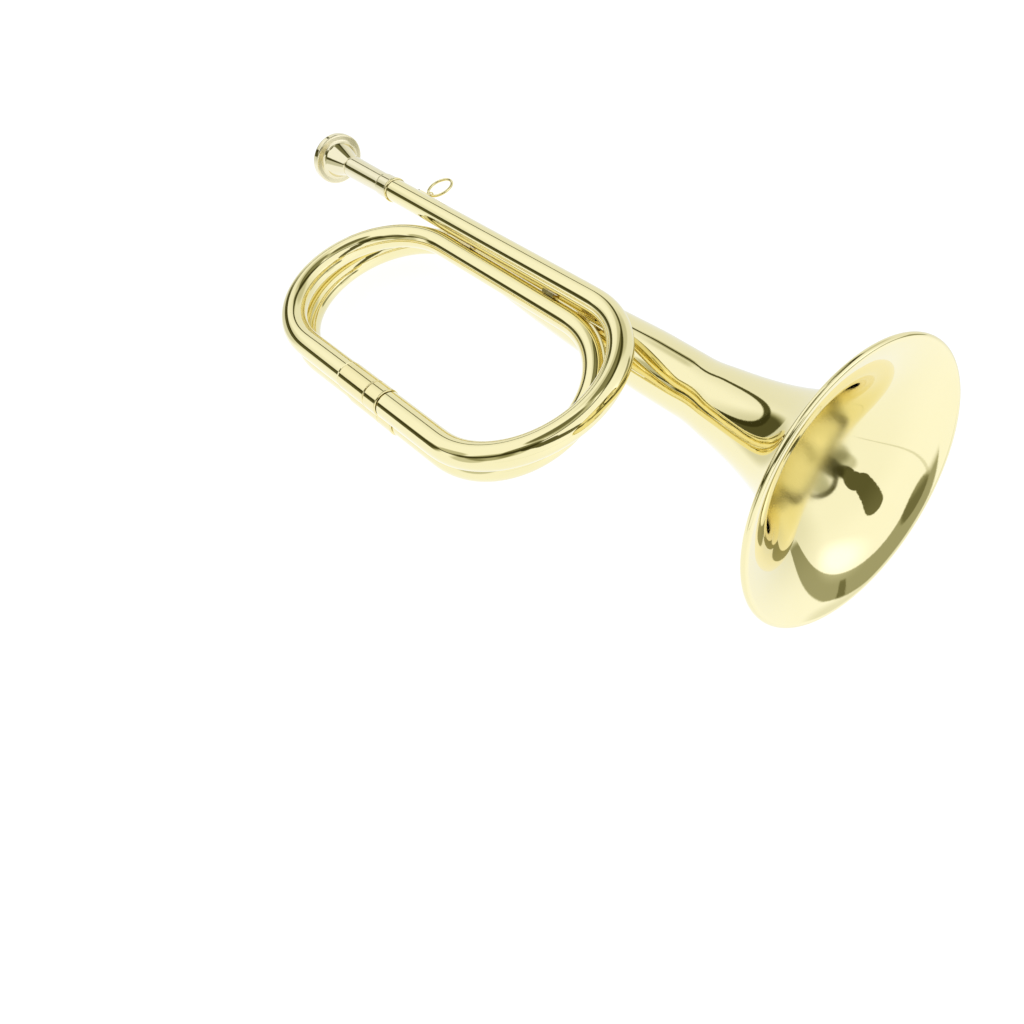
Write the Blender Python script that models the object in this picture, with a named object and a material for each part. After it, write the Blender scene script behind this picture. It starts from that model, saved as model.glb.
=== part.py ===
"""Bugle: two-coil bugle in lacquered brass, modelled in metres, +Z up.

The instrument is designed in its own coil frame, in millimetres:
  +x along the tubes towards the bell mouth,
  +y from the ferrule side of the coils to the leadpipe side,
  +z from the lower coil to the upper coil.
Everything is then parented to one empty, which lays the instrument down on
the ground plane z = 0 the way it rests: on its bell rim and its rear bow.
"""
import math

import bmesh
import bpy
from mathutils import Matrix, Vector

MM = 0.001

# ------------------------------------------------- coil layout (mm, coil frame)
LEAD_Y, LEAD_Z = 96.8, 5.9        # leadpipe axis where the front bow starts
LEAD_SLOPE = 0.024                # the leadpipe climbs this much towards the front bow
MID_Y, MID_Z = 86.4, -3.7         # straight of the middle branch, beside the leadpipe
FRONT_X = 110.6                   # the front bow leaves the straights here
FRONT_SHORT = 3.8                 # the front bow is this much flatter than a half circle
NEST_X, NEST_LONG = 99.6, 2.1     # the same for the front bow nested inside it
REAR_X, REAR_LONG = 0.0, 2.6      # the upper rear bow
LOW_Y, LOW_Z = 3.0, -18.4         # leg with the lower ferrule, under the upper one
LOW_REAR_X = -5.4                 # the lower rear bow
BELL_Y, BELL_Z = 98.0, -18.5      # bell axis at LOW_REAR_X
BELL_DIR = (1.0, 0.015, -0.031)
RIM_X = 255.0                     # centre of the bell mouth

# ------------------------------------------------------- tube sizes (mm)
WALL = 0.55
LEAD_R = 6.15
UP_LEG_R = 6.65
REAR_R = 6.55
MID_R = 5.85
NEST_R = 6.25
LOW_LEG_R = 6.15
LOW_REAR_R = 6.35
TAIL_R = 7.0
# bell tail: radius against distance back from the mouth, up to where the flare takes over
TAIL = ((250.0, 7.4), (225.0, 9.3), (198.0, 11.5), (170.0, 13.2), (140.0, 14.6), (115.0, 15.4), (92.0, 16.3))
BELL_RIM_R = 67.1
FLARE_POWER, FLARE_START = 0.70, 12.8   # r = rim r * (start / (d + start)) ** power
BELL_WALL = 0.6
RIM_WIRE_R = 0.8
RIM_ROLL_R = 1.55
ROLL_HOLLOW_R = 1.15

# -------------------------------------------------- stations along the tubes (mm)
RIM_BACK_X = -112.7               # back of the mouthpiece rim
MOUTH_X = -117.5                  # plane of the mouthpiece rim
MOUTH_R = 14.2
SHANK_X = -48.2                   # end of the shank, inside the leadpipe
RECEIVER_X = (-65.5, -57.0)       # receiver sleeve
COLLAR_X = (-56.7, -54.9)         # bead where the receiver meets the leadpipe
LEAD_X = -54.6                    # back end of the leadpipe
UP_FERRULE_X = (37.7, 59.3, 69.2)     # sleeve start, bead start, bead end
LOW_FERRULE_X = (30.2, 54.5, 65.8)
FERRULE_R = 7.0
LOW_FERRULE_R = 6.75
BELL_JOINT_X = 8.0                # the bell tail meets the lower rear bow
LEAD_AXIS = (1.0, 0.0, LEAD_SLOPE)
PLATE_X = (-42.5, -29.5)          # lanyard plate on the leadpipe
PLATE_THICK = 0.7
PLATE_LEAN, PLATE_HALF = -16.6, 34.0  # degrees round the leadpipe, from +y towards +z
EYE_X = -35.9                     # the eye's hole runs along the leadpipe
EYE_MAJOR, EYE_MINOR = 1.6, 0.45
RING_MAJOR, RING_MINOR = 6.85, 0.75
RING_TILT = (-7.0, 2.0)           # degrees the ring leans about y and x
UP_JOIN_X, LOW_JOIN_X = 48.0, 42.0    # the branches' ends meet here, inside the ferrules
SPIGOT_STEP = 0.6                 # a leg narrows by this much where it enters a ferrule
GAP = 0.3                         # left between pieces that are soldered together

# --------------------------------------------- how the instrument lies (degrees)
LIE_ROLL, LIE_PITCH = 2.64, -12.21    # rests on the bell rim, the rear bow and the mouthpiece rim

SIDES = 16
BOW_STEPS = 12
BELL_SIDES = 40


# ------------------------------------------------------------------ helpers
def clear_scene():
    for obj in list(bpy.data.objects):
        bpy.data.objects.remove(obj, do_unlink=True)


def material(name, colour, roughness):
    mat = bpy.data.materials.new(name)
    mat.use_nodes = True
    shader = mat.node_tree.nodes["Principled BSDF"]
    shader.inputs["Base Color"].default_value = (*colour, 1.0)
    shader.inputs["Metallic"].default_value = 1.0
    shader.inputs["Roughness"].default_value = roughness
    return mat


def finish(name, bm, mat, parent, smooth_angle=40.0):
    bmesh.ops.remove_doubles(bm, verts=bm.verts, dist=1e-7)
    bmesh.ops.recalc_face_normals(bm, faces=bm.faces)
    mesh = bpy.data.meshes.new(name)
    bm.to_mesh(mesh)
    bm.free()
    mesh.shade_smooth()
    mesh.set_sharp_from_angle(angle=math.radians(smooth_angle))
    mesh.materials.append(mat)
    obj = bpy.data.objects.new(name, mesh)
    bpy.context.scene.collection.objects.link(obj)
    obj.parent = parent
    return obj


def lerp(table, t):
    """Value at t in a short table of (t, value) pairs, straight between them."""
    if t <= table[0][0]:
        return table[0][1]
    for (a, va), (b, vb) in zip(table, table[1:]):
        if t <= b:
            return va + (vb - va) * (t - a) / (b - a)
    return table[-1][1]


def smoothstep(t):
    t = min(1.0, max(0.0, t))
    return t * t * (3 - 2 * t)


def straight(a, b, steps):
    a, b = Vector(a), Vector(b)
    return [a.lerp(b, i / steps) for i in range(steps + 1)]


def bow(x0, reach, y0, y1, z0, z1, sign, steps=BOW_STEPS, ease=smoothstep):
    """Half-ellipse from (x0, y0, z0) round to (x0, y1, z1), bulging by reach along sign * x."""
    mid, half = (y0 + y1) / 2, (y0 - y1) / 2
    points = []
    for i in range(steps + 1):
        t = i / steps
        a = math.pi * t
        points.append(Vector((x0 + sign * reach * math.sin(a), mid + half * math.cos(a), z0 + (z1 - z0) * ease(t))))
    return points


def tube(name, points, radii, mat, parent, wall=WALL, sides=SIDES, bore=None):
    """A pipe with an open bore, swept along points with one outer radius per point."""
    n = len(points)
    tangents = []
    for i in range(n):
        a = points[max(i - 1, 0)]
        b = points[min(i + 1, n - 1)]
        tangents.append((b - a).normalized())
    normal = Vector((0, 0, 1))
    normal = (normal - tangents[0] * normal.dot(tangents[0])).normalized()
    bm = bmesh.new()
    rings = []
    for i in range(n):
        normal = (normal - tangents[i] * normal.dot(tangents[i])).normalized()
        side = tangents[i].cross(normal)
        # a mitred joint keeps the pipe's width on the inside and outside of a bend
        pair = []
        for r in (radii[i], (bore[i] if bore else radii[i] - wall)):
            ring = []
            for k in range(sides):
                a = 2 * math.pi * k / sides
                ring.append(bm.verts.new((points[i] + normal * (r * math.cos(a)) + side * (r * math.sin(a))) * MM))
            pair.append(ring)
        rings.append(pair)
    for i in range(n - 1):
        for k in range(sides):
            m = (k + 1) % sides
            (o0, i0), (o1, i1) = rings[i], rings[i + 1]
            bm.faces.new((o0[k], o0[m], o1[m], o1[k]))
            bm.faces.new((i0[m], i0[k], i1[k], i1[m]))
    for (o, b), flip in ((rings[0], False), (rings[-1], True)):
        for k in range(sides):
            m = (k + 1) % sides
            face = (o[k], b[k], b[m], o[m])
            bm.faces.new(face[::-1] if flip else face)
    return finish(name, bm, mat, parent)


def turned(name, profile, centre, axis, mat, parent, sides):
    """A closed profile of (distance along axis, radius) turned about the axis through centre."""
    axis = Vector(axis).normalized()
    up = Vector((0, 0, 1)) if abs(axis.z) < 0.9 else Vector((1, 0, 0))
    u = (up - axis * up.dot(axis)).normalized()
    v = axis.cross(u)
    centre = Vector(centre)
    bm = bmesh.new()
    rings = []
    for k in range(sides):
        a = 2 * math.pi * k / sides
        out = u * math.cos(a) + v * math.sin(a)
        rings.append([bm.verts.new((centre + axis * s + out * r) * MM) for s, r in profile])
    m = len(profile)
    for k in range(sides):
        a, b = rings[k], rings[(k + 1) % sides]
        for i in range(m):
            j = (i + 1) % m
            bm.faces.new((a[i], a[j], b[j], b[i]))
    return finish(name, bm, mat, parent)


def ring_profile(r_in, s0, s1, r_out, bevel):
    """Closed profile of a sleeve with bevelled outer edges."""
    return [(s0, r_in), (s0, r_out - bevel), (s0 + bevel, r_out), (s1 - bevel, r_out), (s1, r_out - bevel), (s1, r_in)]


def hoop(name, centre, axis, major, minor, mat, parent, steps=24, sides=8):
    """A round ring of wire."""
    profile = [(minor * math.sin(2 * math.pi * i / sides), major - minor * math.cos(2 * math.pi * i / sides)) for i in range(sides)]
    return turned(name, profile, centre, axis, mat, parent, steps)


def stay(name, x0, x1, c1, r1, c2, r2, half_width, mat, parent, steps=4):
    """A small block between two parallel tubes, hollowed to lie GAP off each of them.
    c1 and c2 are the tubes' axes in the yz plane."""
    c1, c2 = Vector((0, *c1)), Vector((0, *c2))
    along = (c2 - c1).normalized()
    side = Vector((1, 0, 0)).cross(along).normalized()
    span = (c2 - c1).length
    outline = []
    for i in range(steps + 1):
        w = -half_width + 2 * half_width * i / steps
        outline.append(c1 + side * w + along * math.sqrt((r1 + GAP) ** 2 - w * w))
    for i in range(steps + 1):
        w = half_width - 2 * half_width * i / steps
        outline.append(c1 + side * w + along * (span - math.sqrt((r2 + GAP) ** 2 - w * w)))
    bm = bmesh.new()
    ends = [[bm.verts.new((p + Vector((x, 0, 0))) * MM) for p in outline] for x in (x0, x1)]
    m = len(outline)
    for i in range(m):
        j = (i + 1) % m
        bm.faces.new((ends[0][i], ends[0][j], ends[1][j], ends[1][i]))
    half = steps + 1
    for end, flip in ((ends[0], True), (ends[1], False)):
        for i in range(steps):
            face = (end[i], end[i + 1], end[2 * half - 2 - i], end[2 * half - 1 - i])
            bm.faces.new(face[::-1] if flip else face)
    return finish(name, bm, mat, parent)


# --------------------------------------------------------------------- paths
def lead_z(x):
    return LEAD_Z + LEAD_SLOPE * (x - FRONT_X)


def bell_point(x):
    t = x - LOW_REAR_X
    return Vector((x, BELL_Y + BELL_DIR[1] * t, BELL_Z + BELL_DIR[2] * t))


def flare_radius(d):
    """Outer radius of the bell, d back from its mouth."""
    flare = BELL_RIM_R * (FLARE_START / (d + FLARE_START)) ** FLARE_POWER
    if d <= TAIL[-1][0]:
        return flare
    for (a, ra), (b, rb) in zip(TAIL, TAIL[1:]):
        if d >= b:
            t = min(1.0, (a - d) / (a - b))
            return ra + (rb - ra) * t
    return TAIL[0][1]


def piped(name, runs, mat, parent):
    """One pipe from several runs of (points, radius at the start, radius at the end)."""
    points, radii = [], []
    for run, r0, r1 in runs:
        for i, p in enumerate(run):
            if points and (p - points[-1]).length < 1e-6:
                continue
            points.append(p)
            radii.append(r0 + (r1 - r0) * i / (len(run) - 1))
    return tube(name, points, radii, mat, parent)


def spigot(x_in, x_step, y, z, inward):
    """Runs for the narrowed end of a leg: x_in is deep in the ferrule, x_step is where it narrows."""
    edge = x_step + (0.5 if inward > 0 else -0.5)
    return straight((x_in, y, z), (x_step, y, z), 1), straight((x_step, y, z), (edge, y, z), 1), edge


def leadpipe_branch(mat, parent):
    small = UP_LEG_R - SPIGOT_STEP
    deep, step, edge = spigot(UP_JOIN_X + GAP, UP_FERRULE_X[2] + GAP, 0.0, 0.0, 1)
    runs = (
        (straight((LEAD_X, LEAD_Y, lead_z(LEAD_X)), (FRONT_X, LEAD_Y, LEAD_Z), 3), LEAD_R, LEAD_R),
        (bow(FRONT_X, LEAD_Y / 2 - FRONT_SHORT, LEAD_Y, 0.0, LEAD_Z, 0.0, 1, ease=lambda t: t), LEAD_R, UP_LEG_R),
        (straight((FRONT_X, 0.0, 0.0), (edge, 0.0, 0.0), 1), UP_LEG_R, UP_LEG_R),
        (step[::-1], UP_LEG_R, small),
        (deep[::-1], small, small),
    )
    return piped("leadpipe_branch", runs, mat, parent)


def middle_branch(mat, parent):
    small = UP_LEG_R - SPIGOT_STEP
    deep, step, edge = spigot(UP_JOIN_X - GAP, UP_FERRULE_X[0] - GAP, 0.0, 0.0, -1)
    rear = bow(REAR_X, MID_Y / 2 + REAR_LONG, 0.0, MID_Y, 0.0, MID_Z, -1, ease=lambda t: t)
    half = (MID_Y - LOW_Y) / 2
    nest = bow(NEST_X, half + NEST_LONG, MID_Y, LOW_Y, MID_Z, LOW_Z, 1)
    low_small = LOW_LEG_R - SPIGOT_STEP
    low_deep, low_step, low_edge = spigot(LOW_JOIN_X + GAP, LOW_FERRULE_X[2] + GAP, LOW_Y, LOW_Z, 1)
    runs = (
        (deep, small, small),
        (step, small, UP_LEG_R),
        (straight((edge, 0.0, 0.0), (REAR_X, 0.0, 0.0), 1), UP_LEG_R, REAR_R),
        (rear, REAR_R, MID_R),
        (straight((REAR_X, MID_Y, MID_Z), (NEST_X, MID_Y, MID_Z), 2), MID_R, MID_R),
        (nest, MID_R, NEST_R),
        (straight((NEST_X, LOW_Y, LOW_Z), (low_edge, LOW_Y, LOW_Z), 1), NEST_R, LOW_LEG_R),
        (low_step[::-1], LOW_LEG_R, low_small),
        (low_deep[::-1], low_small, low_small),
    )
    return piped("middle_branch", runs, mat, parent)


def lower_rear_bow(mat, parent):
    low_small = LOW_LEG_R - SPIGOT_STEP
    deep, step, edge = spigot(LOW_JOIN_X - GAP, LOW_FERRULE_X[0] - GAP, LOW_Y, LOW_Z, -1)
    rear = bow(LOW_REAR_X, (BELL_Y - LOW_Y) / 2, LOW_Y, BELL_Y, LOW_Z, BELL_Z, -1, ease=lambda t: t)
    runs = (
        (deep, low_small, low_small),
        (step, low_small, LOW_LEG_R),
        (straight((edge, LOW_Y, LOW_Z), (LOW_REAR_X, LOW_Y, LOW_Z), 1), LOW_LEG_R, LOW_REAR_R),
        (rear, LOW_REAR_R, TAIL_R),
        (straight(bell_point(LOW_REAR_X), bell_point(BELL_JOINT_X - GAP), 1), TAIL_R, 7.4),
    )
    return piped("lower_rear_bow", runs, mat, parent)


def ferrule(name, xs, y, z, r_out, r_in, mat, parent):
    """The sleeve that joins two branches, from xs[0] to xs[1]."""
    profile = ring_profile(r_in, 0.0, xs[1] - GAP - xs[0], r_out, 0.3)
    return turned(name, profile, (xs[0], y, z), (1, 0, 0), mat, parent, 20)


def ferrule_bead(name, xs, y, z, r_out, r_in, mat, parent):
    profile = ring_profile(r_in, 0.0, xs[2] - xs[1], r_out, 0.5)
    return turned(name, profile, (xs[1], y, z), (1, 0, 0), mat, parent, 20)


def bell(mat, parent):
    """Conical tail, flare, and the edge rolled back round the rim wire."""
    axis = Vector(BELL_DIR).normalized()
    joint_d = (bell_point(RIM_X) - bell_point(BELL_JOINT_X)).length
    depths = [joint_d, 225.0, 198.0, 170.0, 140.0, 115.0, 92.0, 74.0, 58.0, 45.0, 34.0, 25.0, 17.5, 11.5, 7.0, 4.0, 2.0]
    back = [(-d, flare_radius(d)) for d in depths]
    front = []
    for d in depths:
        slope = (flare_radius(max(d - 0.5, 0.0)) - flare_radius(d + 0.5)) if d < joint_d - 0.5 else 0.05
        lean = math.sqrt(1 + slope * slope)
        front.append((-d + BELL_WALL * slope / lean, flare_radius(d) - BELL_WALL / lean))
    front[0] = (-joint_d, flare_radius(joint_d) - BELL_WALL)
    # the roll round the wire, which leaves a flat front edge for the bell to stand on
    ws, wr = -RIM_ROLL_R - 0.05, BELL_RIM_R - RIM_ROLL_R

    def on_roll(radius, degrees):
        a = math.radians(degrees)
        return ws + radius * math.cos(a), wr + radius * math.sin(a)

    hollow = [on_roll(ROLL_HOLLOW_R, a) for a in (-35, 0, 45, 90, 135, 180, 215, 250)]
    top = [on_roll(RIM_ROLL_R, a) for a in (250, 215, 180, 135, 90, 45)]
    flat = [(-0.05, wr + 0.45), (-0.05, wr - 0.35)]
    profile = back + [(-0.95, 64.0)] + hollow + top + flat + [(-0.35, 64.0)] + front[::-1]
    return turned("bell", profile, bell_point(RIM_X), axis, mat, parent, BELL_SIDES)


def rim_wire(mat, parent):
    centre = bell_point(RIM_X) + Vector(BELL_DIR).normalized() * (-RIM_ROLL_R - 0.05)
    return hoop("bell_rim_wire", centre, BELL_DIR, BELL_RIM_R - RIM_ROLL_R, RIM_WIRE_R, mat, parent, BELL_SIDES, 8)


def mouthpiece(mat, parent):
    """Rim, cup, throat and tapered shank in one turned piece, with its bore open at both ends."""
    end = SHANK_X - MOUTH_X
    rim = RIM_BACK_X - MOUTH_X
    step = RECEIVER_X[0] - MOUTH_X - GAP
    outer = [
        (0.0, MOUTH_R - 1.0), (0.9, MOUTH_R), (rim - 0.5, MOUTH_R), (rim, MOUTH_R - 0.6), (rim + 0.3, 10.8), (rim + 1.3, 9.7),
        (rim + 7.0, 7.4), (rim + 12.6, 5.1), (rim + 13.4, 4.9), (rim + 14.0, 5.3), (rim + 14.6, 6.0), (rim + 16.0, 6.1),
        (step - 0.5, 5.75), (step, 5.1), (end, 4.4),
    ]
    inner = [(end, 3.9), (36.0, 2.9), (22.5, 2.0), (19.0, 2.0), (16.5, 3.0), (13.0, 4.7), (9.5, 6.3), (6.0, 7.5), (3.0, 8.2), (0.8, 8.6), (0.0, 9.2)]
    obj = turned("mouthpiece", outer + inner, (0, 0, 0), LEAD_AXIS, mat, parent, 24)
    obj.location = Vector((MOUTH_X, LEAD_Y, lead_z(MOUTH_X))) * MM
    return obj


def receiver(mat, parent):
    x0, x1 = RECEIVER_X
    n = x1 - x0
    profile = [(0.0, 6.0), (0.6, 6.2), (3.5, 6.4), (n, 6.45), (n, 5.3), (0.0, 5.5)]
    return turned("mouthpiece_receiver", profile, (x0, LEAD_Y, lead_z(x0)), LEAD_AXIS, mat, parent, 24)


def collar(mat, parent):
    x0, x1 = COLLAR_X
    profile = ring_profile(5.3, 0.0, x1 - x0, 6.9, 0.45)
    return turned("receiver_collar", profile, (x0, LEAD_Y, lead_z(x0)), LEAD_AXIS, mat, parent, 24)


def lanyard_plate(mat, parent):
    """A thin saddle that hugs the outer side of the leadpipe."""
    x0, x1 = PLATE_X
    bm = bmesh.new()
    steps, r0, r1 = 6, LEAD_R + GAP, LEAD_R + GAP + PLATE_THICK
    ends = []
    for x in (x0, x1):
        c = Vector((x, LEAD_Y, lead_z(x)))
        loop = []
        for r, order in ((r1, range(steps + 1)), (r0, range(steps, -1, -1))):
            for i in order:
                a = math.radians(PLATE_LEAN + PLATE_HALF * (2 * i / steps - 1))
                loop.append(bm.verts.new((c + Vector((0, math.cos(a), math.sin(a))) * r) * MM))
        ends.append(loop)
    m = len(ends[0])
    for i in range(m):
        j = (i + 1) % m
        bm.faces.new((ends[0][i], ends[0][j], ends[1][j], ends[1][i]))
    for end in ends:
        for i in range(steps):
            bm.faces.new((end[i], end[i + 1], end[m - 2 - i], end[m - 1 - i]))
    return finish("lanyard_plate", bm, mat, parent)


def eye_centre():
    a = math.radians(PLATE_LEAN)
    c = Vector((EYE_X, LEAD_Y, lead_z(EYE_X)))
    return c + Vector((0, math.cos(a), math.sin(a))) * (LEAD_R + GAP + PLATE_THICK + GAP + EYE_MINOR + EYE_MAJOR)


def lanyard_eye(mat, parent):
    """A small closed loop on the plate, with its hole along the tube."""
    return hoop("lanyard_eye", eye_centre(), LEAD_AXIS, EYE_MAJOR, EYE_MINOR, mat, parent, 16, 8)


def lanyard_ring(mat, parent):
    """The ring, threaded through the eye and turning about the wire that lies in it."""
    lean = Matrix.Rotation(math.radians(RING_TILT[0]), 3, "Y") @ Matrix.Rotation(math.radians(RING_TILT[1]), 3, "X")
    obj = hoop("lanyard_ring", lean @ Vector((0, RING_MAJOR, 0)), lean @ Vector((0, 0, 1)), RING_MAJOR, RING_MINOR, mat, parent, 28, 8)
    obj.location = eye_centre() * MM
    return obj


def tail_at(x):
    p = bell_point(x)
    return (p.y, p.z), flare_radius((bell_point(RIM_X) - p).length)


def stays(mat, parent):
    """Small blocks soldered between the coils, which hold them to each other."""
    made = []
    x = 88.0
    made.append(stay("stay_legs", x, x + 8.0, (0.0, 0.0), UP_LEG_R, (LOW_Y, LOW_Z), NEST_R, 3.0, mat, parent))
    for name, x in (("stay_leadpipe_rear", 12.0), ("stay_leadpipe_front", 78.0)):
        made.append(stay(name, x, x + 8.0, (LEAD_Y, lead_z(x)), LEAD_R, (MID_Y, MID_Z), MID_R, 2.2, mat, parent))
    x = 22.0
    made.append(stay("stay_bell_rear", x, x + 8.0, (MID_Y, MID_Z), MID_R, tail_at(x)[0], tail_at(x + 8.0)[1], 2.5, mat, parent))
    x = 98.0
    made.append(stay("stay_bell_front", x, x + 8.0, (LEAD_Y, lead_z(x)), LEAD_R, tail_at(x)[0], tail_at(x + 8.0)[1] + 0.1, 2.6, mat, parent))
    return made


def build():
    clear_scene()
    frame = bpy.data.objects.new("instrument_frame", None)
    bpy.context.scene.collection.objects.link(frame)
    brass = material("lacquered_brass", (0.86, 0.74, 0.42), 0.08)
    pale = material("pale_brass", (0.88, 0.80, 0.58), 0.10)
    steel = material("rim_steel", (0.55, 0.55, 0.55), 0.35)

    mouthpiece(pale, frame)
    receiver(pale, frame)
    collar(brass, frame)
    leadpipe_branch(brass, frame)
    small_up, small_low = UP_LEG_R - SPIGOT_STEP + GAP, LOW_LEG_R - SPIGOT_STEP + GAP
    ferrule("upper_ferrule", UP_FERRULE_X, 0.0, 0.0, FERRULE_R, small_up, brass, frame)
    ferrule_bead("upper_ferrule_bead", UP_FERRULE_X, 0.0, 0.0, FERRULE_R + 0.1, small_up, brass, frame)
    middle_branch(brass, frame)
    ferrule("lower_ferrule", LOW_FERRULE_X, LOW_Y, LOW_Z, LOW_FERRULE_R, small_low, brass, frame)
    ferrule_bead("lower_ferrule_bead", LOW_FERRULE_X, LOW_Y, LOW_Z, LOW_FERRULE_R + 0.1, small_low, brass, frame)
    lower_rear_bow(brass, frame)
    bell(brass, frame)
    rim_wire(steel, frame)
    lanyard_plate(brass, frame)
    lanyard_eye(brass, frame)
    lanyard_ring(brass, frame)
    stays(brass, frame)

    turn = Matrix.Rotation(math.radians(LIE_PITCH), 4, "Y") @ Matrix.Rotation(math.radians(LIE_ROLL), 4, "X")
    frame.matrix_world = turn
    bpy.context.view_layer.update()
    corners = [o.matrix_world @ v.co for o in bpy.data.objects if o.type == "MESH" for v in o.data.vertices]
    low = [min(c[i] for c in corners) for i in range(3)]
    high = [max(c[i] for c in corners) for i in range(3)]
    centre = Vector(((low[0] + high[0]) / 2, (low[1] + high[1]) / 2, low[2]))
    frame.matrix_world = Matrix.Translation(-centre) @ turn
    bpy.context.view_layer.update()


build()
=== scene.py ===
"""Bugle in polished lacquered brass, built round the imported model.

Shapes are laid out in the instrument's own coil frame, in millimetres (x along the tubes towards the bell,
y from the ferrule legs to the leadpipe, z from the lower coil to the upper one), and then carried into the
row frame, where the bugle lies on its bell rim, rear bow and mouthpiece rim.
"""

import math

import bpy
import numpy as np
from mathutils import Matrix


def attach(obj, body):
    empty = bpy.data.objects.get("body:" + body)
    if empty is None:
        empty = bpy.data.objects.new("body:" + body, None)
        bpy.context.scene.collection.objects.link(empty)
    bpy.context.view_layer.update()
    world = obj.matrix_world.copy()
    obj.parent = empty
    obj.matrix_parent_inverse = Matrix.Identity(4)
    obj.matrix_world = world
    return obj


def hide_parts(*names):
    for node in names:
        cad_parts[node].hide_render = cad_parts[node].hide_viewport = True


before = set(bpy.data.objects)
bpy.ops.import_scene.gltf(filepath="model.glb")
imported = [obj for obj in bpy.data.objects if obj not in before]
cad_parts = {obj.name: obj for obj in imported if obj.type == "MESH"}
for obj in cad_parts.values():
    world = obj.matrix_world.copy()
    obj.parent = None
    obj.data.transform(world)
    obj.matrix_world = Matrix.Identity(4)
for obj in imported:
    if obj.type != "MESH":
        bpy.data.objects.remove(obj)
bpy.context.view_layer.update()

# ------------------------------------------------------------------ coil frame
LIE_ROLL, LIE_PITCH = math.radians(2.64), math.radians(-12.21)
SHIFT = np.array([-73.4377, -81.4622, 33.654])


def rot_x(a):
    return np.array([[1, 0, 0], [0, math.cos(a), -math.sin(a)], [0, math.sin(a), math.cos(a)]])


def rot_y(a):
    return np.array([[math.cos(a), 0, math.sin(a)], [0, 1, 0], [-math.sin(a), 0, math.cos(a)]])


TURN = rot_y(LIE_PITCH) @ rot_x(LIE_ROLL)


def to_row(p):
    """Coil frame in mm to row frame in metres."""
    return (np.asarray(p, float) @ TURN.T + SHIFT) / 1000.0


def dir_row(d):
    return np.asarray(d, float) @ TURN.T


# ------------------------------------------------------------------ the instrument's sizes (mm)
LEAD_Y, LEAD_Z, LEAD_SLOPE = 96.8, 5.9, 0.024
MID_Y, MID_Z = 86.4, -3.7
FRONT_X, FRONT_SHORT = 110.6, 3.8
NEST_X, NEST_LONG = 99.6, 2.1
REAR_X, REAR_LONG = 0.0, 2.6
LOW_Y, LOW_Z, LOW_REAR_X = 3.0, -18.4, -5.4
BELL_Y, BELL_Z = 98.0, -18.5
BELL_DIR = np.array([1.0, 0.015, -0.031])
RIM_X = 255.0
WALL = 0.55
LEAD_R, UP_LEG_R, REAR_R, MID_R = 6.15, 6.65, 6.55, 5.85
NEST_R, LOW_LEG_R, LOW_REAR_R, TAIL_R = 6.25, 6.15, 6.35, 7.0
TAIL = ((270.0, 7.0), (250.0, 7.4), (225.0, 9.3), (198.0, 11.5), (170.0, 13.2), (140.0, 14.6), (115.0, 15.4), (92.0, 16.3))
BELL_RIM_R, FLARE_POWER, FLARE_START = 67.1, 0.70, 12.8
RIM_ROLL_R = 1.55
MOUTH_X, RIM_BACK_X, SHANK_X, MOUTH_R = -117.5, -112.7, -48.2, 14.2
RECEIVER_X, COLLAR_X, LEAD_X = (-65.5, -57.0), (-56.7, -54.9), -54.6
UP_FERRULE_X, LOW_FERRULE_X = (37.7, 59.3, 69.2), (30.2, 54.5, 65.8)
FERRULE_R, LOW_FERRULE_R = 7.0, 6.75
BELL_JOINT_X = 8.0
UP_JOIN_X, LOW_JOIN_X, SPIGOT_STEP, GAP = 48.0, 42.0, 0.6, 0.3
LEAD_AXIS = np.array([1.0, 0.0, LEAD_SLOPE])
PLATE_X, PLATE_THICK, PLATE_LEAN, PLATE_HALF = (-42.5, -29.5), 0.7, -16.6, 34.0
EYE_X, EYE_MAJOR, EYE_MINOR = -35.9, 1.6, 0.45
RING_MAJOR, RING_MINOR, RING_TILT = 6.85, 0.8, (-7.0, 2.0)


def unit(v):
    v = np.asarray(v, float)
    return v / np.linalg.norm(v)


def lead_z(x):
    return LEAD_Z + LEAD_SLOPE * (x - FRONT_X)


def bell_point(x):
    return np.array([0.0, BELL_Y, BELL_Z]) + BELL_DIR * (x - LOW_REAR_X) + np.array([LOW_REAR_X, 0, 0])


# ------------------------------------------------------------------ mesh helpers
def smooth_curve(table):
    """Monotone cubic through a short table of (t, value), as a function of an array of t."""
    t = np.array([a for a, _ in table], float)
    v = np.array([b for _, b in table], float)
    order = np.argsort(t)
    t, v = t[order], v[order]
    h = np.diff(t)
    d = np.diff(v) / h
    m = np.zeros(len(t))
    for i in range(1, len(t) - 1):
        if d[i - 1] * d[i] > 0:
            w1, w2 = 2 * h[i] + h[i - 1], h[i] + 2 * h[i - 1]
            m[i] = (w1 + w2) / (w1 / d[i - 1] + w2 / d[i])
    m[0], m[-1] = d[0], d[-1]

    def f(x):
        x = np.clip(np.asarray(x, float), t[0], t[-1])
        i = np.clip(np.searchsorted(t, x) - 1, 0, len(t) - 2)
        s = (x - t[i]) / h[i]
        return ((2 * s**3 - 3 * s**2 + 1) * v[i] + (s**3 - 2 * s**2 + s) * h[i] * m[i]
                + (-2 * s**3 + 3 * s**2) * v[i + 1] + (s**3 - s**2) * h[i] * m[i + 1])

    return f


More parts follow.
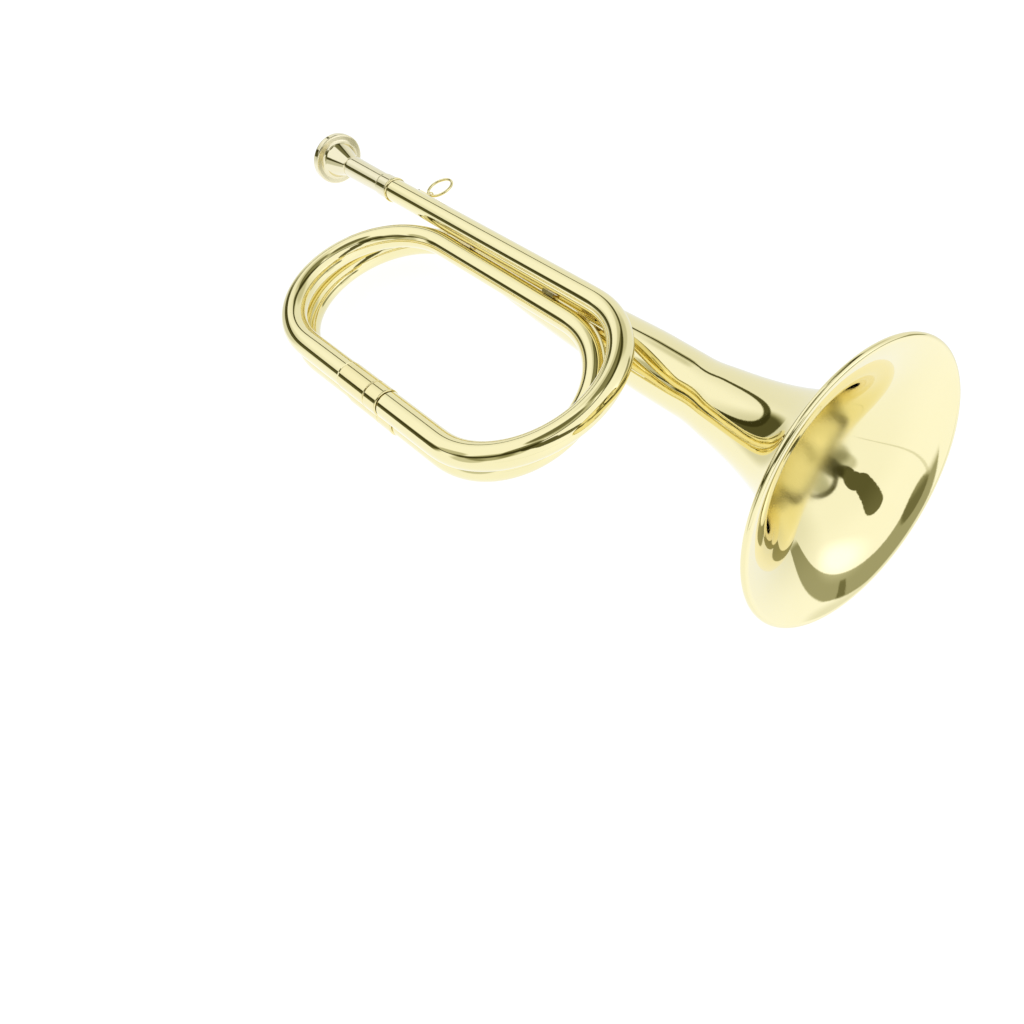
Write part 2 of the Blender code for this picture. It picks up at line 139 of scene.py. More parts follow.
def bezier_round(points, radius, steps=6):
    """A profile's corners rounded: each inner corner gives way to a small arc-like curve."""
    points = [np.array(p, float) for p in points]
    out = [points[0]]
    for a, b, c in zip(points, points[1:], points[2:]):
        ab, cb = a - b, c - b
        r = min(radius, 0.45 * np.linalg.norm(ab), 0.45 * np.linalg.norm(cb))
        if r < 1e-3:
            out.append(b)
            continue
        p, q = b + unit(ab) * r, b + unit(cb) * r
        # a point just inside each straight keeps the rounding out of its shading
        if np.linalg.norm(ab) > 2.5 * r:
            out.append(p + unit(ab) * 0.15 * r)
        for i in range(steps + 1):
            s = i / steps
            out.append((1 - s) ** 2 * p + 2 * s * (1 - s) * b + s * s * q)
        if np.linalg.norm(cb) > 2.5 * r:
            out.append(q + unit(cb) * 0.15 * r)
    out.append(points[-1])
    return np.array(out)


def closed_round(points, radius, steps=6):
    """The same for a closed profile."""
    n = len(points)
    start = (np.array(points[-1], float) + np.array(points[0], float)) / 2
    return bezier_round([start] + [points[i] for i in range(n)] + [start], radius, steps)[:-1]


def make_object(name, verts, faces, mat, body, replaces=(), sharp=35.0, origin=None):
    """verts in the coil frame, mm."""
    co = to_row(verts)
    shift = np.zeros(3) if origin is None else to_row(origin)
    mesh = bpy.data.meshes.new(name)
    mesh.from_pydata((co - shift).tolist(), [], faces)
    mesh.validate()
    mesh.update()
    mesh.shade_smooth()
    mesh.set_sharp_from_angle(angle=math.radians(sharp))
    mesh.materials.append(mat)
    obj = bpy.data.objects.new(name, mesh)
    bpy.context.scene.collection.objects.link(obj)
    obj.location = shift
    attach(obj, body)
    if replaces:
        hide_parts(*replaces)
    return obj


def turned(name, profile, centre, axis, sides, mat, body, replaces=(), sharp=35.0):
    """A closed profile of (distance along the axis, radius) turned about the axis."""
    profile = np.asarray(profile, float)
    axis = unit(axis)
    u = unit(np.array([0, 0, 1.0]) - axis * axis[2])
    v = np.cross(axis, u)
    centre = np.asarray(centre, float)
    n = len(profile)
    verts, faces = [], []
    for k in range(sides):
        a = 2 * math.pi * k / sides
        out = u * math.cos(a) + v * math.sin(a)
        verts.append(centre + axis * profile[:, :1] + out * profile[:, 1:])
    area = 0.5 * float(np.sum(profile[:, 0] * np.roll(profile[:, 1], -1) - np.roll(profile[:, 0], -1) * profile[:, 1]))
    for k in range(sides):
        m = (k + 1) % sides
        for i in range(n):
            j = (i + 1) % n
            face = (k * n + i, k * n + j, m * n + j, m * n + i)
            faces.append(face if area < 0 else face[::-1])
    return make_object(name, np.vstack(verts), faces, mat, body, replaces, sharp)


def swept(name, path, outer, inner, sides, mat, body, replaces=(), sharp=50.0):
    """A pipe with an open bore along path, with radii per point and flat end faces."""
    path = np.asarray(path, float)
    n = len(path)
    tang = np.gradient(path, axis=0)
    tang /= np.linalg.norm(tang, axis=1)[:, None]
    normal = unit(np.array([0, 0, 1.0]) - tang[0] * tang[0][2])
    frames = []
    for i in range(n):
        normal = unit(normal - tang[i] * normal.dot(tang[i]))
        frames.append((normal, np.cross(tang[i], normal)))
    rows = []
    for i in range(n):
        rows.append((path[i], frames[i], outer[i]))
    for i in range(n - 1, -1, -1):
        rows.append((path[i], frames[i], inner[i]))
    ang = 2 * np.pi * np.arange(sides) / sides
    verts = np.vstack([p + r * (np.cos(ang)[:, None] * f[0] + np.sin(ang)[:, None] * f[1]) for p, f, r in rows])
    faces = []
    m = len(rows)
    for i in range(m):
        j = (i + 1) % m
        for k in range(sides):
            q = (k + 1) % sides
            faces.append((i * sides + k, i * sides + q, j * sides + q, j * sides + k))
    return make_object(name, verts, faces, mat, body, replaces, sharp)


def hoop(name, centre, axis, major, minor, steps, sides, mat, body, replaces=()):
    a = 2 * np.pi * np.arange(sides) / sides
    return turned(name, np.stack([minor * np.sin(a), major - minor * np.cos(a)], 1), centre, axis, steps, mat, body, replaces)


# ------------------------------------------------------------------ paths
def line(a, b, step=2.0):
    a, b = np.array(a, float), np.array(b, float)
    n = max(2, int(round(np.linalg.norm(b - a) / step)) + 1)
    return a + (b - a) * np.linspace(0, 1, n)[:, None]


def bow(x0, reach, y0, y1, z0, z1, sign, ease, n=97):
    t = np.linspace(0, 1, n)
    a = math.pi * t
    e = t * t * (3 - 2 * t) if ease else t
    return np.stack([x0 + sign * reach * np.sin(a), (y0 + y1) / 2 + (y0 - y1) / 2 * np.cos(a), z0 + (z1 - z0) * e], 1)


def joined(runs, step=1.5, blend=7.0):
    """Runs of (points, r at start, r at end) as one evenly spaced path with its height eased across the joints."""
    points, radii = [], []
    for pts, r0, r1 in runs:
        s = np.concatenate([[0], np.cumsum(np.linalg.norm(np.diff(pts, axis=0), axis=1))])
        rr = r0 + (r1 - r0) * s / s[-1]
        first = 1 if points else 0
        points.extend(pts[first:])
        radii.extend(rr[first:])
    points, radii = np.array(points), np.array(radii)
    s = np.concatenate([[0], np.cumsum(np.linalg.norm(np.diff(points, axis=0), axis=1))])
    n = int(s[-1] / step) + 1
    t = np.linspace(0, s[-1], n)
    out = np.stack([np.interp(t, s, points[:, i]) for i in range(3)], 1)
    rad = np.interp(t, s, radii)
    half = int(3 * blend / step)
    kernel = np.exp(-0.5 * (np.arange(-half, half + 1) * step / blend) ** 2)
    kernel /= kernel.sum()

    def eased(v):
        left = 2 * v[0] - v[1:half + 1][::-1]
        right = 2 * v[-1] - v[-half - 1:-1][::-1]
        return np.convolve(np.concatenate([left, v, right]), kernel, "valid")

    z = eased(out[:, 2])
    out[:, 2] = z
    light = np.exp(-0.5 * (np.arange(-half, half + 1) * step / (0.45 * blend)) ** 2)
    light /= light.sum()
    for i in (0, 1):
        v = out[:, i]
        left = 2 * v[0] - v[1:half + 1][::-1]
        right = 2 * v[-1] - v[-half - 1:-1][::-1]
        out[:, i] = np.convolve(np.concatenate([left, v, right]), light, "valid")
    return out, eased(rad)


# ------------------------------------------------------------------ materials
def brass(name, base, roughness, tint, seed, scratch=1.0, coat=0.28):
    """Polished, lacquered brass: a mirror metal under a clear coat, with faint buffing marks, a slow drift
    of colour where the lacquer is thicker, and a little haze."""
    mat = bpy.data.materials.new(name)
    mat.use_nodes = True
    nt = mat.node_tree
    shader = nt.nodes["Principled BSDF"]
    shader.inputs["Metallic"].default_value = 1.0
    shader.inputs["Coat Weight"].default_value = coat
    shader.inputs["Coat Roughness"].default_value = 0.02
    coords = nt.nodes.new("ShaderNodeTexCoord")
    place = nt.nodes.new("ShaderNodeMapping")
    place.inputs["Location"].default_value = (seed * 0.37, seed * 0.11, seed * 0.23)
    nt.links.new(coords.outputs["Object"], place.inputs["Vector"])

    drift = nt.nodes.new("ShaderNodeTexNoise")
    drift.inputs["Scale"].default_value = 38.0
    drift.inputs["Detail"].default_value = 2.0
    nt.links.new(place.outputs["Vector"], drift.inputs["Vector"])
    colour = nt.nodes.new("ShaderNodeMix")
    colour.data_type = "RGBA"
    colour.inputs["A"].default_value = (*base, 1.0)
    colour.inputs["B"].default_value = (*tint, 1.0)
    nt.links.new(drift.outputs["Fac"], colour.inputs["Factor"])
    nt.links.new(colour.outputs["Result"], shader.inputs["Base Color"])

    buff = nt.nodes.new("ShaderNodeTexNoise")
    buff.inputs["Scale"].default_value = 900.0
    buff.inputs["Detail"].default_value = 3.0
    nt.links.new(place.outputs["Vector"], buff.inputs["Vector"])
    rough = nt.nodes.new("ShaderNodeMapRange")
    rough.inputs["From Min"].default_value = 0.3
    rough.inputs["From Max"].default_value = 0.7
    rough.inputs["To Min"].default_value = roughness * 0.7
    rough.inputs["To Max"].default_value = roughness * 1.35
    nt.links.new(buff.outputs["Fac"], rough.inputs["Value"])
    nt.links.new(rough.outputs["Result"], shader.inputs["Roughness"])

    bump = nt.nodes.new("ShaderNodeBump")
    bump.inputs["Strength"].default_value = 0.015 * scratch
    bump.inputs["Distance"].default_value = 0.0002
    nt.links.new(buff.outputs["Fac"], bump.inputs["Height"])
    nt.links.new(bump.outputs["Normal"], shader.inputs["Normal"])
    return mat


def brush_inside(mat, start, end, roughness):
    """Deeper in the bell than start (mm) the polish gives way to fine brushing along the horn."""
    nt = mat.node_tree
    shader = nt.nodes["Principled BSDF"]
    depth = nt.nodes.new("ShaderNodeAttribute")
    depth.attribute_name = "inner_depth"
    mask = nt.nodes.new("ShaderNodeMapRange")
    mask.interpolation_type = "SMOOTHSTEP"
    mask.inputs["From Min"].default_value = start
    mask.inputs["From Max"].default_value = end
    nt.links.new(depth.outputs["Fac"], mask.inputs["Value"])
    spin = nt.nodes.new("ShaderNodeAttribute")
    spin.attribute_name = "spin"
    streaks = nt.nodes.new("ShaderNodeTexNoise")
    streaks.inputs["Scale"].default_value = 1.0
    streaks.inputs["Detail"].default_value = 4.0
    streaks.inputs["Roughness"].default_value = 0.65
    nt.links.new(spin.outputs["Vector"], streaks.inputs["Vector"])
    rough = nt.nodes.new("ShaderNodeMapRange")
    rough.inputs["From Min"].default_value = 0.3
    rough.inputs["From Max"].default_value = 0.7
    rough.inputs["To Min"].default_value = roughness * 0.85
    rough.inputs["To Max"].default_value = roughness * 1.1
    nt.links.new(streaks.outputs["Fac"], rough.inputs["Value"])
    mixed = nt.nodes.new("ShaderNodeMix")
    mixed.data_type = "FLOAT"
    nt.links.new(mask.outputs["Result"], mixed.inputs["Factor"])
    nt.links.new(shader.inputs["Roughness"].links[0].from_socket, mixed.inputs["A"])
    nt.links.new(rough.outputs["Result"], mixed.inputs["B"])
    nt.links.new(mixed.outputs["Result"], shader.inputs["Roughness"])
    clear = nt.nodes.new("ShaderNodeMapRange")
    clear.inputs["To Min"].default_value = shader.inputs["Coat Weight"].default_value
    clear.inputs["To Max"].default_value = 0.0
    nt.links.new(mask.outputs["Result"], clear.inputs["Value"])
    nt.links.new(clear.outputs["Result"], shader.inputs["Coat Weight"])
    lift = nt.nodes.new("ShaderNodeMath")
    lift.operation = "MULTIPLY"
    nt.links.new(streaks.outputs["Fac"], lift.inputs[0])
    nt.links.new(mask.outputs["Result"], lift.inputs[1])
    grain = nt.nodes.new("ShaderNodeBump")
    grain.inputs["Strength"].default_value = 0.005
    grain.inputs["Distance"].default_value = 0.0001
    nt.links.new(lift.outputs[0], grain.inputs["Height"])
    nt.links.new(shader.inputs["Normal"].links[0].from_socket, grain.inputs["Normal"])
    nt.links.new(grain.outputs["Normal"], shader.inputs["Normal"])


BRASS = brass("lacquered_brass_look", (0.905, 0.80, 0.40), 0.028, (0.92, 0.82, 0.43), 1)
BELL_BRASS = brass("bell_brass_look", (0.905, 0.80, 0.41), 0.032, (0.92, 0.82, 0.44), 2)
FITTING_BRASS = brass("fitting_brass_look", (0.90, 0.78, 0.37), 0.04, (0.915, 0.80, 0.40), 3)
PALE_BRASS = brass("pale_brass_look", (0.86, 0.77, 0.46), 0.05, (0.88, 0.79, 0.49), 4)
WIRE = brass("rim_wire_look", (0.56, 0.56, 0.55), 0.35, (0.50, 0.49, 0.47), 5, scratch=3.0)
SOLDER = brass("stay_look", (0.80, 0.66, 0.30), 0.16, (0.74, 0.60, 0.26), 6, scratch=0.3)


# ------------------------------------------------------------------ tubes
def ring_shape(r_in, length, r_out, bevel):
    """Closed profile of a sleeve with softly rounded edges."""
    p = [(0.0, r_in), (0.0, r_out - bevel), (bevel, r_out), (length - bevel, r_out), (length, r_out - bevel), (length, r_in)]
    return closed_round(p, bevel * 0.8, 5)


runs = (
    (line((LEAD_X, LEAD_Y, lead_z(LEAD_X)), (FRONT_X, LEAD_Y, LEAD_Z)), LEAD_R, LEAD_R),
    (bow(FRONT_X, LEAD_Y / 2 - FRONT_SHORT, LEAD_Y, 0.0, LEAD_Z, 0.0, 1, False), LEAD_R, UP_LEG_R),
    (line((FRONT_X, 0, 0), (UP_FERRULE_X[2] + 1.2, 0, 0)), UP_LEG_R, UP_LEG_R),
)
path, rad = joined(runs)
spig = line((UP_FERRULE_X[2] + 0.7, 0, 0), (UP_JOIN_X + GAP, 0, 0), 2.0)
path = np.vstack([path, spig])
rad = np.concatenate([rad, np.full(len(spig), UP_LEG_R - SPIGOT_STEP)])
swept("leadpipe_branch_tube", path, rad, rad - WALL, 64, BRASS, "horn", ("leadpipe_branch",))

runs = (
    (line((UP_FERRULE_X[0] - 0.9, 0, 0), (REAR_X, 0, 0)), UP_LEG_R, REAR_R),
    (bow(REAR_X, MID_Y / 2 + REAR_LONG, 0.0, MID_Y, 0.0, MID_Z, -1, False), REAR_R, MID_R),
    (line((REAR_X, MID_Y, MID_Z), (NEST_X, MID_Y, MID_Z)), MID_R, MID_R),
    (bow(NEST_X, (MID_Y - LOW_Y) / 2 + NEST_LONG, MID_Y, LOW_Y, MID_Z, LOW_Z, 1, True), MID_R, NEST_R),
    (line((NEST_X, LOW_Y, LOW_Z), (LOW_FERRULE_X[2] + 0.9, LOW_Y, LOW_Z)), NEST_R, LOW_LEG_R),
)
path, rad = joined(runs)
a = line((UP_JOIN_X - GAP, 0, 0), (UP_FERRULE_X[0] - 0.4, 0, 0), 2.0)
b = line((LOW_FERRULE_X[2] + 0.4, LOW_Y, LOW_Z), (LOW_JOIN_X + GAP, LOW_Y, LOW_Z), 2.0)
path = np.vstack([a, path, b])
rad = np.concatenate([np.full(len(a), UP_LEG_R - SPIGOT_STEP), rad, np.full(len(b), LOW_LEG_R - SPIGOT_STEP)])
swept("middle_branch_tube", path, rad, rad - WALL, 64, BRASS, "horn", ("middle_branch",))

runs = (
    (line((LOW_FERRULE_X[0] - 0.9, LOW_Y, LOW_Z), (LOW_REAR_X, LOW_Y, LOW_Z)), LOW_LEG_R, LOW_REAR_R),
    (bow(LOW_REAR_X, (BELL_Y - LOW_Y) / 2, LOW_Y, BELL_Y, LOW_Z, BELL_Z, -1, False), LOW_REAR_R, TAIL_R),
    (line(bell_point(LOW_REAR_X), bell_point(BELL_JOINT_X - GAP)), TAIL_R, 7.4),
)
path, rad = joined(runs, blend=5.0)
a = line((LOW_JOIN_X - GAP, LOW_Y, LOW_Z), (LOW_FERRULE_X[0] - 0.4, LOW_Y, LOW_Z), 2.0)
path = np.vstack([a, path])
rad = np.concatenate([np.full(len(a), LOW_LEG_R - SPIGOT_STEP), rad])
swept("lower_rear_bow_tube", path, rad, rad - WALL, 64, BRASS, "horn", ("lower_rear_bow",))

up_in, low_in = UP_LEG_R - SPIGOT_STEP + GAP, LOW_LEG_R - SPIGOT_STEP + GAP
for name, xs, y, z, r, r_in in (("upper_ferrule", UP_FERRULE_X, 0.0, 0.0, FERRULE_R, up_in),
                                ("lower_ferrule", LOW_FERRULE_X, LOW_Y, LOW_Z, LOW_FERRULE_R, low_in)):
    turned(name + "_sleeve", ring_shape(r_in, xs[1] - GAP - xs[0], r, 0.3), (xs[0], y, z), (1, 0, 0), 72,
           FITTING_BRASS, "horn", (name,))
    turned(name + "_collar", ring_shape(r_in, xs[2] - xs[1], r + 0.1, 0.45), (xs[1], y, z), (1, 0, 0), 72,
           FITTING_BRASS, "horn", (name + "_bead",))

# ------------------------------------------------------------------ bell
tail_curve = smooth_curve(TAIL[:-1] + tuple((d, BELL_RIM_R * (FLARE_START / (d + FLARE_START)) ** FLARE_POWER)
                                           for d in (92.0, 74.0, 62.0, 52.0)))


def flare(d):
    d = np.asarray(d, float)
    horn = BELL_RIM_R * (FLARE_START / (np.maximum(d, 0) + FLARE_START)) ** FLARE_POWER
    t = np.clip((d - 55.0) / 20.0, 0, 1)
    t = t * t * (3 - 2 * t)
    return horn * (1 - t) + tail_curve(d) * t


joint_d = float(np.linalg.norm(bell_point(RIM_X) - bell_point(BELL_JOINT_X)))
depths = np.concatenate([np.linspace(joint_d, 60, 66), np.linspace(58.5, 20, 34), np.linspace(19.2, 2.0, 30)])
outer = np.stack([-depths, flare(depths)], 1)
slope = (flare(depths - 0.4) - flare(depths + 0.4)) / 0.8
lean = np.sqrt(1 + slope**2)
inner = np.stack([-depths + 0.6 * slope / lean, flare(depths) - 0.6 / lean], 1)
inner[0] = (-joint_d, float(flare(joint_d)) - 0.6)
ws, wr = -RIM_ROLL_R - 0.05, BELL_RIM_R - RIM_ROLL_R


def on_roll(radius, degrees):
    a = np.radians(np.asarray(degrees, float))
    return np.stack([ws + radius * np.cos(a), wr + radius * np.sin(a)], 1)


hollow = on_roll(1.15, np.linspace(-35, 250, 20))
top = on_roll(RIM_ROLL_R, np.linspace(250, 20, 22))
profile = np.vstack([outer, [(-0.95, 64.0)], hollow, top, [(-0.05, wr - 0.35), (-0.35, 64.0)], inner[::-1]])
BELL_TURNS = 192
bell_body = turned("bell_body", profile, bell_point(RIM_X), BELL_DIR, BELL_TURNS, BELL_BRASS, "horn", ("bell",))
depth_of = np.concatenate([np.zeros(len(profile) - len(inner)), -inner[::-1, 0]])
angles = np.repeat(2 * np.pi * np.arange(BELL_TURNS) / BELL_TURNS, len(profile))
layer = bell_body.data.attributes.new("inner_depth", "FLOAT", "POINT")
layer.data.foreach_set("value", np.tile(depth_of, BELL_TURNS).astype(np.float32))
layer = bell_body.data.attributes.new("spin", "FLOAT_VECTOR", "POINT")
layer.data.foreach_set("vector", np.stack([40 * np.cos(angles), 40 * np.sin(angles), np.tile(profile[:, 0] / 12, BELL_TURNS)], 1).astype(np.float32).ravel())
brush_inside(BELL_BRASS, 20.0, 34.0, 0.24)

# ------------------------------------------------------------------ mouthpiece, receiver, collar
end, rim = SHANK_X - MOUTH_X, RIM_BACK_X - MOUTH_X
step = RECEIVER_X[0] - MOUTH_X - GAP
outer = [(0.0, MOUTH_R - 2.6), (0.0, MOUTH_R - 1.0), (0.9, MOUTH_R), (rim - 0.5, MOUTH_R), (rim, MOUTH_R - 0.6), (rim + 0.3, 10.8),
         (rim + 1.3, 9.7), (rim + 7.0, 7.4), (rim + 12.6, 5.1), (rim + 13.4, 4.9), (rim + 14.0, 5.3), (rim + 14.6, 6.0),
         (rim + 16.0, 6.1), (step - 0.5, 5.75), (step, 5.1), (end, 4.4)]
inner = [(end, 3.9), (36.0, 2.9), (22.5, 2.0), (19.0, 2.0), (16.5, 3.0), (13.0, 4.7), (9.5, 6.3), (6.0, 7.5), (3.0, 8.2), (0.8, 8.6), (0.0, 9.2)]
profile = closed_round(outer + inner, 1.0, 6)
mouthpiece_body = turned("mouthpiece_body", profile, (MOUTH_X, LEAD_Y, lead_z(MOUTH_X)), LEAD_AXIS, 96,
                         PALE_BRASS, "mouthpiece", ("mouthpiece",))
# the back of the rim is left as it was turned, without a polish
rim_back = (np.abs(profile[:, 0] - rim - 0.15) < 0.4) & (profile[:, 1] > 10.0)
layer = mouthpiece_body.data.attributes.new("inner_depth", "FLOAT", "POINT")
layer.data.foreach_set("value", np.tile(np.where(rim_back, 50.0, 0.0), 96).astype(np.float32))
brush_inside(PALE_BRASS, 5.0, 45.0, 0.26)
n = RECEIVER_X[1] - RECEIVER_X[0]
profile = closed_round([(0.0, 5.95), (0.35, 6.3), (n, 6.45), (n, 5.3), (0.0, 5.5)], 0.25, 5)
turned("receiver_sleeve", profile, (RECEIVER_X[0], LEAD_Y, lead_z(RECEIVER_X[0])), LEAD_AXIS, 72,
       PALE_BRASS, "horn", ("mouthpiece_receiver",))
turned("receiver_collar_ring", ring_shape(5.3, COLLAR_X[1] - COLLAR_X[0], 6.9, 0.45), (COLLAR_X[0], LEAD_Y, lead_z(COLLAR_X[0])),
       LEAD_AXIS, 72, FITTING_BRASS, "horn", ("receiver_collar",))

# ------------------------------------------------------------------ lanyard plate, eye and ring
a = math.radians(PLATE_LEAN)
eye = np.array([EYE_X, LEAD_Y, lead_z(EYE_X)]) + np.array([0, math.cos(a), math.sin(a)]) * (
    LEAD_R + GAP + PLATE_THICK + GAP + EYE_MINOR + EYE_MAJOR)
hoop("lanyard_eye_loop", eye, LEAD_AXIS, EYE_MAJOR, EYE_MINOR, 48, 20, FITTING_BRASS, "horn", ("lanyard_eye",))
lean = rot_y(math.radians(RING_TILT[0])) @ rot_x(math.radians(RING_TILT[1]))
hoop("lanyard_ring_wire", eye + lean @ np.array([0, RING_MAJOR, 0]), lean @ np.array([0, 0, 1.0]), RING_MAJOR, RING_MINOR, 96, 20,
     FITTING_BRASS, "ring", ("lanyard_ring",))

nu, nv = 25, 33
r0, r1 = LEAD_R + GAP, LEAD_R + GAP + PLATE_THICK
x_mid, x_half = sum(PLATE_X) / 2, (PLATE_X[1] - PLATE_X[0]) / 2
grid = {}
verts, faces = [], []
for layer, r in ((0, r1), (1, r0)):
    for i in range(nu):
        for j in range(nv):
            u, w = 2 * i / (nu - 1) - 1, 2 * j / (nv - 1) - 1
            # the plate's outline is a rounded lozenge
            k = (1 - abs(w) ** 3.2) ** (1 / 3.2)
            edge = 1 - 0.55 * max(abs(u), abs(w)) ** 8 if layer == 0 else 1.0
            ang = math.radians(PLATE_LEAN + PLATE_HALF * u * (0.35 + 0.65 * k))
            x = x_mid + x_half * w
            c = np.array([x, LEAD_Y, lead_z(x)])
            rr = r0 + (r - r0) * edge
            grid[layer, i, j] = len(verts)
            verts.append(c + np.array([0, math.cos(ang), math.sin(ang)]) * rr)
for i in range(nu - 1):
    for j in range(nv - 1):
        q = [grid[0, i, j], grid[0, i, j + 1], grid[0, i + 1, j + 1], grid[0, i + 1, j]]
        faces.append(q[::-1])
        q = [grid[1, i, j], grid[1, i, j + 1], grid[1, i + 1, j + 1], grid[1, i + 1, j]]
        faces.append(q)
loop = [(i, 0) for i in range(nu)] + [(nu - 1, j) for j in range(1, nv)] + [(i, nv - 1) for i in range(nu - 2, -1, -1)] + [(0, j) for j in range(nv - 2, 0, -1)]
for (i, j), (k, m) in zip(loop, loop[1:] + loop[:1]):
    faces.append([grid[0, i, j], grid[1, i, j], grid[1, k, m], grid[0, k, m]][::-1])
make_object("lanyard_plate_saddle", verts, faces, FITTING_BRASS, "horn", ("lanyard_plate",))

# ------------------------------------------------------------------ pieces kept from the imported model
for name, mat in (("bell_rim_wire", WIRE), ("stay_legs", SOLDER), ("stay_leadpipe_rear", SOLDER), ("stay_leadpipe_front", SOLDER),
                  ("stay_bell_rear", SOLDER), ("stay_bell_front", SOLDER)):
    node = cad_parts[name]
    if not node.material_slots:
        node.data.materials.append(mat)
    for s in node.material_slots:
        s.link = "OBJECT"
        s.material = mat

# ------------------------------------------------------------------ the studio's dark gaps and brighter spots
# Directions are (azimuth, elevation) in degrees, azimuth 0 towards the bell mouth and 90 towards the leadpipe side.
# the photographer, as overlapping discs (pole, radius)
CAMERA_DISCS = (((-32, 45), 10.8), ((-47, 48), 9.0), ((-27, 38), 9.8), ((-20, 35.5), 9.8), ((-14, 32.5), 9.5), ((-8.5, 29), 9.0),
                ((-4, 26), 8.6), ((-1, 23.5), 8.0))
# ring pole, ring radius, half width, softness, (gate pole, inner, outer), depth
BANDS = (
    ((-163, 60), 50.0, 1.7, 1.3, None, 0.95),
    ((-163, 60), 50.0, 6.0, 1.5, ((-88, 40), 26, 38), 0.9),
    ((-163, 60), 50.0, 4.5, 2.0, ((115, 44), 22, 34), 0.8),
    ((0, 90), 85.0, 7.0, 1.5, ((-158, 4), 26, 36), 0.93),
    ((-105, 81), 108.5, 7.2, 1.2, ((41, -12), 31, 36), 0.7),
    ((-57, 0), 90.0, 0.9, 0.5, ((33, -14), 4.5, 6.5), 0.7),
    ((107, 72), 109.0, 0.3, 0.5, ((-28, -8), 33, 42), 0.25),
)
# pole, inner, outer, depth
SPOTS = (
    ((10, -12), 4.5, 6, 0.72),
    ((30, -28), 6, 10, 0.2),
    ((0, 90), 17, 20, 0.5),
    ((-170, 84), 12, 16, 0.75),
    ((-68, 57), 12, 16, 0.85),
    ((-85, 33), 17, 24, 0.6),
    ((-96, 10), 12, 20, 0.4),
    ((-63, 37), 9, 15, 0.4),
    ((-128, 28), 9, 14, 0.5),
    ((-138, 13), 6, 9, 0.8),
    ((-165, -4), 18, 30, 0.3),
    ((117, 54), 16, 20, 0.8),
    ((145, 45), 6, 16, 0.35),
    ((105, 30), 10, 22, 0.3),
    ((115, -5), 40, 75, 0.16),
)
# pole, inner, outer, gain
GLOWS = (
    ((36, 8), 4, 20, 0.3),
    ((20, -10), 30, 60, 0.05),
)

# ------------------------------------------------------------------ camera
CAM = np.array([526.33, -133.41, 419.75])
RIGHT = np.array([0.6363, 0.7219, -0.2720])
DOWN = np.array([0.4043, -0.6123, -0.6794])
FORWARD = np.cross(RIGHT, DOWN)
cam_data = bpy.data.cameras.new("camera")
cam_data.sensor_width = 36.0
cam_data.lens = 1387.3 * 36.0 / 1024.0
cam_data.shift_x = -0.0511
cam_data.shift_y = -0.1456
cam_data.clip_start = 0.01
cam_data.clip_end = 50.0
camera = bpy.data.objects.new("camera", cam_data)
bpy.context.scene.collection.objects.link(camera)
axes = np.stack([unit(dir_row(RIGHT)), unit(dir_row(-DOWN)), unit(dir_row(-FORWARD))], 1)
m = Matrix([[float(v) for v in row] for row in axes]).to_4x4()
m.translation = to_row(CAM).tolist()
camera.matrix_world = m
bpy.context.scene.camera = camera

# ------------------------------------------------------------------ floor and light
floor_mesh = bpy.data.meshes.new("floor")
floor_mesh.from_pydata([(-6, -6, -0.0005), (6, -6, -0.0005), (6, 6, -0.0005), (-6, 6, -0.0005)], [], [(0, 1, 2, 3)])
floor = bpy.data.objects.new("floor", floor_mesh)
bpy.context.scene.collection.objects.link(floor)
fm = bpy.data.materials.new("floor_white")
fm.use_nodes = True
fs = fm.node_tree.nodes["Principled BSDF"]
fs.inputs["Base Color"].default_value = (0.35, 0.35, 0.35, 1)
fs.inputs["Roughness"].default_value = 1.0
fs.inputs["Specular IOR Level"].default_value = 0.0
fs.inputs["Emission Color"].default_value = (1, 1, 1, 1)
fs.inputs["Emission Strength"].default_value = 0.85
floor_mesh.materials.append(fm)
floor.visible_glossy = False

# The studio is a white tent. Where its panels don't meet, the dark room shows: round the big panel behind
# the mouthpiece, along the horizon there, and where the photographer stands.
world = bpy.data.worlds.new("studio")
bpy.context.scene.world = world
world.use_nodes = True
wt = world.node_tree
background = wt.nodes["Background"]
look = wt.nodes.new("ShaderNodeTexCoord").outputs["Generated"]


def aim(azimuth, elevation):
    a, e = math.radians(azimuth), math.radians(elevation)
    return (math.cos(e) * math.cos(a), math.cos(e) * math.sin(a), math.sin(e))


def angle_from(pole):
    """Angle in radians between the view direction and a pole."""
    d = wt.nodes.new("ShaderNodeVectorMath")
    d.operation = "DOT_PRODUCT"
    wt.links.new(look, d.inputs[0])
    d.inputs[1].default_value = aim(*pole)
    a = wt.nodes.new("ShaderNodeMath")
    a.operation = "ARCCOSINE"
    wt.links.new(d.outputs["Value"], a.inputs[0])
    return a.outputs[0]


def maths(op, a, b=None):
    n = wt.nodes.new("ShaderNodeMath")
    n.operation = op
    for k, v in enumerate((a, b)):
        if v is None:
            continue
        if isinstance(v, (int, float)):
            n.inputs[k].default_value = v
        else:
            wt.links.new(v, n.inputs[k])
    return n.outputs[0]


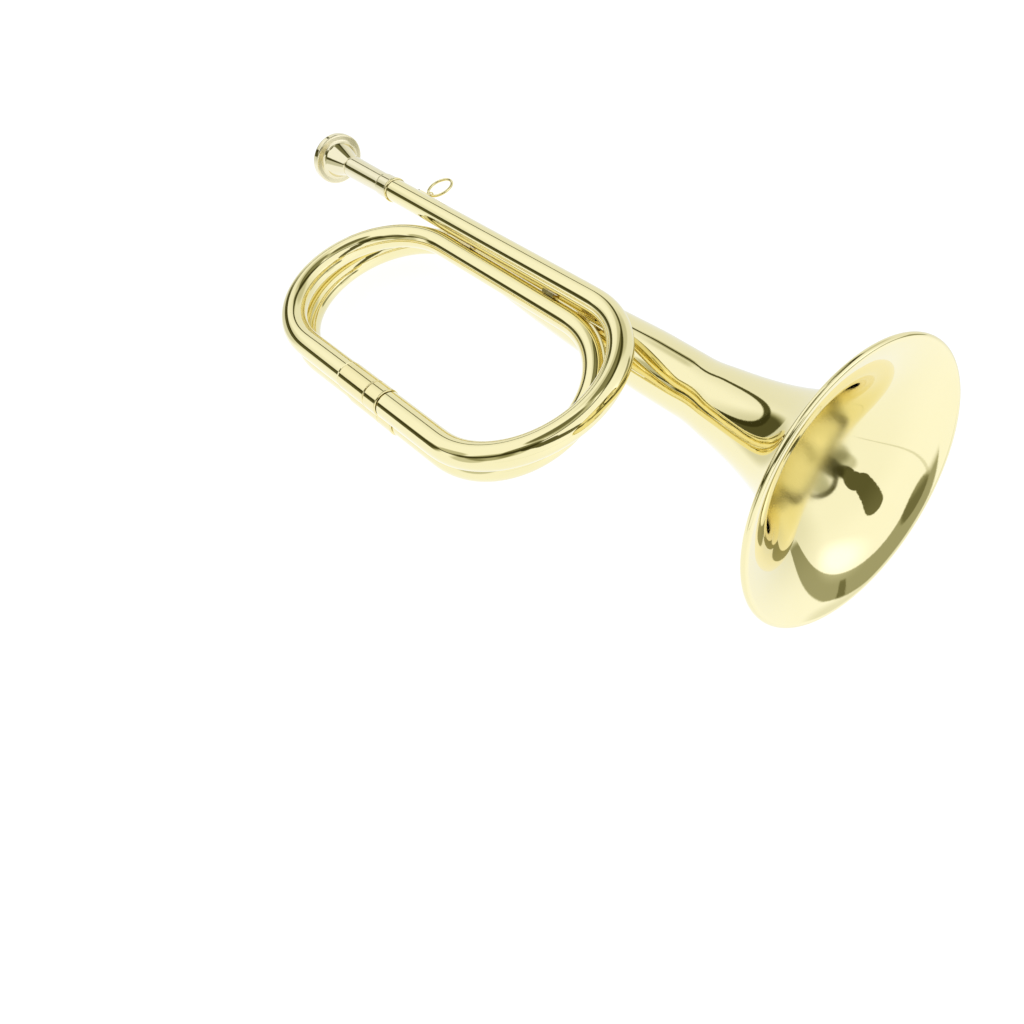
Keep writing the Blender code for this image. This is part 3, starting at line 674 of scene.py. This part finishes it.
def fall(value, inner, outer):
    """1 while value is under inner, falling smoothly to 0 at outer; both in degrees."""
    n = wt.nodes.new("ShaderNodeMapRange")
    n.interpolation_type = "SMOOTHSTEP"
    n.inputs["From Min"].default_value = math.radians(inner)
    n.inputs["From Max"].default_value = math.radians(outer)
    n.inputs["To Min"].default_value = 1.0
    n.inputs["To Max"].default_value = 0.0
    wt.links.new(value, n.inputs["Value"])
    return n.outputs["Result"]


def spot(pole, inner, outer):
    return fall(angle_from(pole), inner, outer)


def band(pole, radius, half, soft):
    """A ring at radius degrees round the pole."""
    off = maths("ABSOLUTE", maths("SUBTRACT", angle_from(pole), math.radians(radius)))
    return fall(off, half, half + soft)


def both(a, b):
    return maths("MULTIPLY", a, b)


photographer = None
for pole, radius in CAMERA_DISCS:
    disc = spot(pole, radius - 0.5, radius + 0.5)
    photographer = disc if photographer is None else maths("MAXIMUM", photographer, disc)
darks = [(photographer, 0.93)]
for pole, radius, half, soft, gate, depth in BANDS:
    b = band(pole, radius, half, soft)
    darks.append((both(b, spot(*gate)) if gate else b, depth))
for pole, inner, outer, depth in SPOTS:
    darks.append((spot(pole, inner, outer), depth))
light = None
for value, depth in darks:
    keep = maths("SUBTRACT", 1.0, maths("MULTIPLY", value, depth))
    light = keep if light is None else maths("MULTIPLY", light, keep)
for pole, inner, outer, gain in GLOWS:
    light = maths("ADD", light, maths("MULTIPLY", spot(pole, inner, outer), gain))
light = maths("ADD", maths("MULTIPLY", light, 0.96), 0.04)
ramp = wt.nodes.new("ShaderNodeCombineColor")
wt.links.new(light, ramp.inputs["Red"])
wt.links.new(maths("MULTIPLY", maths("POWER", light, 1.02), 1.045), ramp.inputs["Green"])
wt.links.new(maths("MULTIPLY", maths("POWER", light, 1.42), 1.2), ramp.inputs["Blue"])
paths = wt.nodes.new("ShaderNodeLightPath")
seen = wt.nodes.new("ShaderNodeMix")
seen.data_type = "RGBA"
seen.inputs["B"].default_value = (1, 1, 1, 1)
wt.links.new(ramp.outputs["Color"], seen.inputs["A"])
wt.links.new(paths.outputs["Is Camera Ray"], seen.inputs["Factor"])
wt.links.new(seen.outputs["Result"], background.inputs["Color"])
background.inputs["Strength"].default_value = 1.045
bpy.context.scene.view_settings.view_transform = "Standard"
